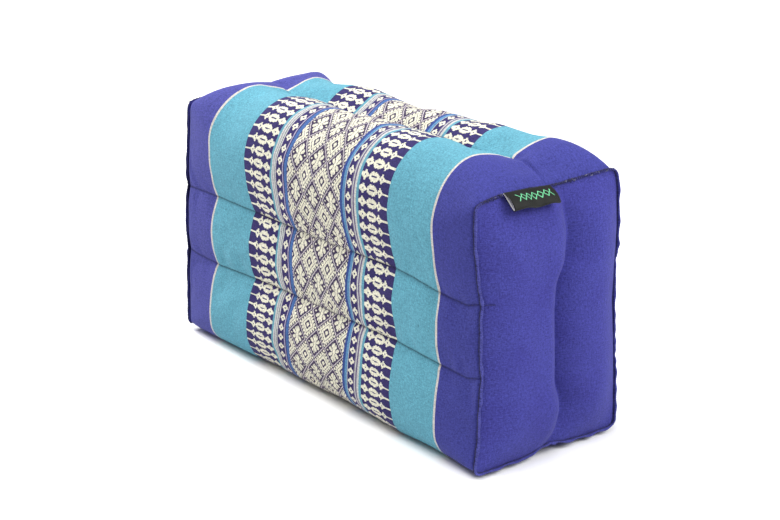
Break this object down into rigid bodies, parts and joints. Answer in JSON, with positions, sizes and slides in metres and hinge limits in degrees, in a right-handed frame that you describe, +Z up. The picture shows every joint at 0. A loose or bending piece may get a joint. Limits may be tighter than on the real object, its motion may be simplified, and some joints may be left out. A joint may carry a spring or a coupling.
{
  "type": "meditation cushion",
  "caption": "Firm rectangular floor cushion in a woven striped and brocaded cover, with sewn channels, plain end panels and a folded tab.",
  "frame": {"origin": "on the floor, under the middle of the cushion, which stands on one long narrow side", "axes": "+X along the cushion, towards the end with the tab; +Y from the front face to the back; +Z up"},
  "size_m": [0.3682, 0.1357, 0.2074],
  "materials": {
    "woven_cover": "matte woven cotton, striped and brocaded in cream on navy",
    "plain_end_cloth": "matte plain-woven cotton",
    "tab_tape": "close satin-woven tape"
  },
  "bodies": {
    "root": {"cushion": "woven_cover", "end_panel_right": "plain_end_cloth", "end_panel_left": "plain_end_cloth", "label": "tab_tape"}
  },
  "joints": []
}
